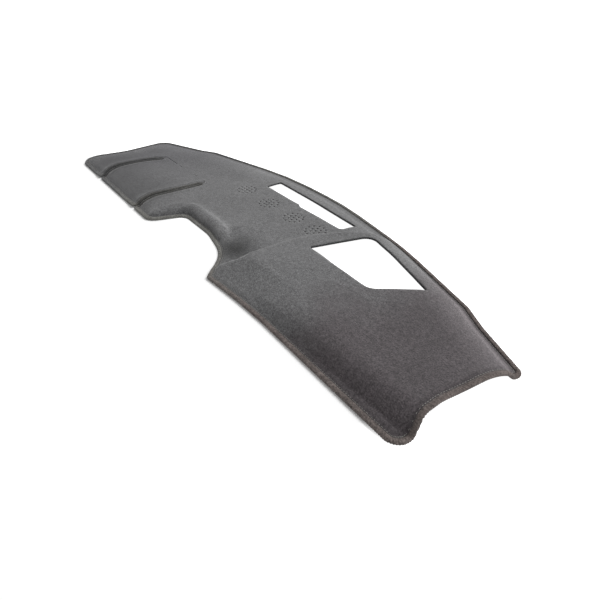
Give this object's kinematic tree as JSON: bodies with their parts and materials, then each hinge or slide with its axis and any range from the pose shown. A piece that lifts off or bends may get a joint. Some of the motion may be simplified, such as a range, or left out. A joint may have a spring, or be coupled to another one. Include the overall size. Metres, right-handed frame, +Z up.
{
  "type": "dashboard cover mat",
  "caption": "Moulded carpet cover for a car dashboard, with a bound edge, an instrument hood, airbag flap slits, a vent slot, a hood cut-out and speaker perforations.",
  "frame": {"origin": "middle of the plan's box, on the floor that the mat lies on", "axes": "+X along the mat's length to the end with the instrument hood, +Y to the windscreen edge, +Z up"},
  "size_m": [1.4334, 0.4574, 0.0434],
  "materials": {
    "carpet": "short cut pile, charcoal grey",
    "binding": "overlock yarn, dark grey"
  },
  "bodies": {
    "root": {"carpet_mat": "carpet", "edge_binding": "binding"}
  },
  "joints": []
}
